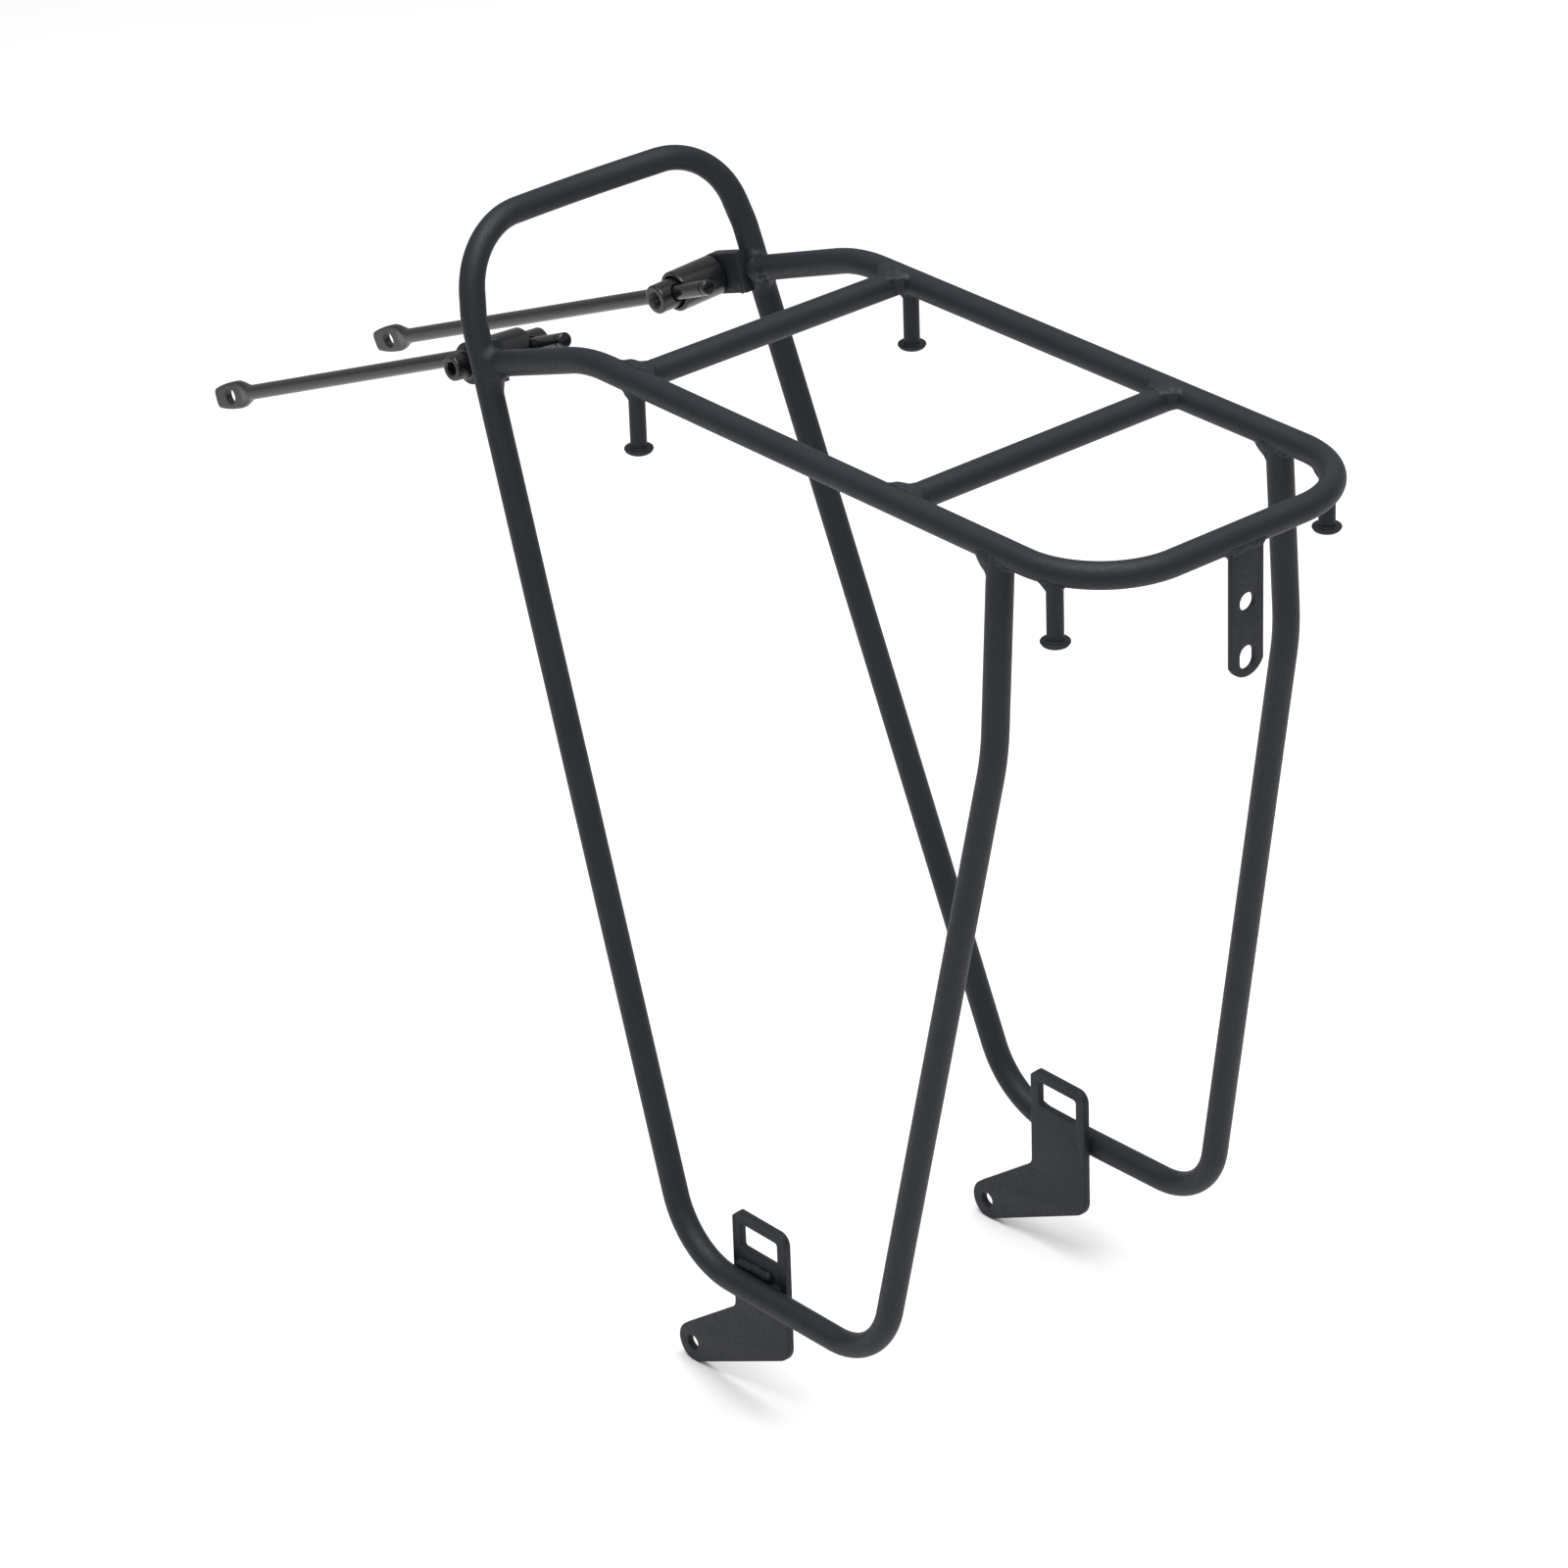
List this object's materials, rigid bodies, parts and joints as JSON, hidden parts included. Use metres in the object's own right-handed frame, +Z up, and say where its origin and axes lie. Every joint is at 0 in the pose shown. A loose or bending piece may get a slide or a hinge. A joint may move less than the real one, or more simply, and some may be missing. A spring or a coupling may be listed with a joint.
{
  "type": "rear bicycle rack",
  "caption": "Rear bicycle rack of bent rod with side leg loops, a front hoop, foot plates, bungee studs, a light bracket and adjustable front stays.",
  "frame": {"origin": "midpoint of the line through the two foot-plate bolt holes, where the rack is bolted to the bicycle frame", "axes": "+X forwards on the bicycle, +Y to the left, +Z up"},
  "size_m": [0.5526, 0.178, 0.4336],
  "materials": {
    "powder_coat": "matte",
    "stay_coat": "satin",
    "black_hardware": "satin"
  },
  "bodies": {
    "frame": {"leg_and_hoop_rod": "powder_coat", "deck_rod": "powder_coat", "cross_tube_front": "powder_coat", "cross_tube_rear": "powder_coat", "stud_front_left": "powder_coat", "stud_front_right": "powder_coat", "stud_rear_left": "powder_coat", "stud_rear_right": "powder_coat", "light_bracket": "powder_coat", "foot_plate_left": "powder_coat", "foot_plate_right": "powder_coat", "clamp_lug_left": "powder_coat", "clamp_lug_right": "powder_coat", "clamp_washer_left": "black_hardware", "clamp_washer_right": "black_hardware"},
    "spacer_left": {"clamp_spacer_left": "black_hardware"},
    "nut_left": {"eye_nut_left": "black_hardware"},
    "stay_left": {"stay_left": "stay_coat"},
    "screw_left": {"clamp_screw_left": "black_hardware"},
    "spacer_right": {"clamp_spacer_right": "black_hardware"},
    "nut_right": {"eye_nut_right": "black_hardware"},
    "stay_right": {"stay_right": "stay_coat"},
    "screw_right": {"clamp_screw_right": "black_hardware"}
  },
  "joints": [
    {"name": "stay_swing_left", "type": "hinge", "parent": "frame", "child": "spacer_left", "pos_m": [0.1279, 0.0357, 0.3662], "axis": [0, 0.9984, 0.0558], "range_deg": [-95, 155]},
    {"name": "nut_draw_left", "type": "slide", "parent": "spacer_left", "child": "nut_left", "axis": [0, 0.9984, 0.0558], "range_m": [-0.003, 0]},
    {"name": "stay_slide_left", "type": "slide", "parent": "nut_left", "child": "stay_left", "axis": [0.9212, 0.0217, -0.3885], "range_m": [-0.052, 0.02]},
    {"name": "screw_turn_left", "type": "hinge", "parent": "frame", "child": "screw_left", "pos_m": [0.1279, 0.0357, 0.3662], "axis": [0, 0.9984, 0.0558], "range_deg": [0, 1080]},
    {"name": "stay_swing_right", "type": "hinge", "parent": "frame", "child": "spacer_right", "pos_m": [0.1279, -0.0357, 0.3662], "axis": [0, 0.9984, -0.0558], "range_deg": [-95, 155]},
    {"name": "nut_draw_right", "type": "slide", "parent": "spacer_right", "child": "nut_right", "axis": [0, -0.9984, 0.0558], "range_m": [-0.003, 0]},
    {"name": "stay_slide_right", "type": "slide", "parent": "nut_right", "child": "stay_right", "axis": [0.9212, -0.0217, -0.3885], "range_m": [-0.052, 0.02]},
    {"name": "screw_turn_right", "type": "hinge", "parent": "frame", "child": "screw_right", "pos_m": [0.1279, -0.0357, 0.3662], "axis": [0, -0.9984, 0.0558], "range_deg": [0, 1080]}
  ],
  "couplings": [
    {"joint": "screw_turn_left", "follows": "nut_draw_left", "rad_per_m": -6283.2},
    {"joint": "screw_turn_right", "follows": "nut_draw_right", "rad_per_m": -6283.2}
  ]
}
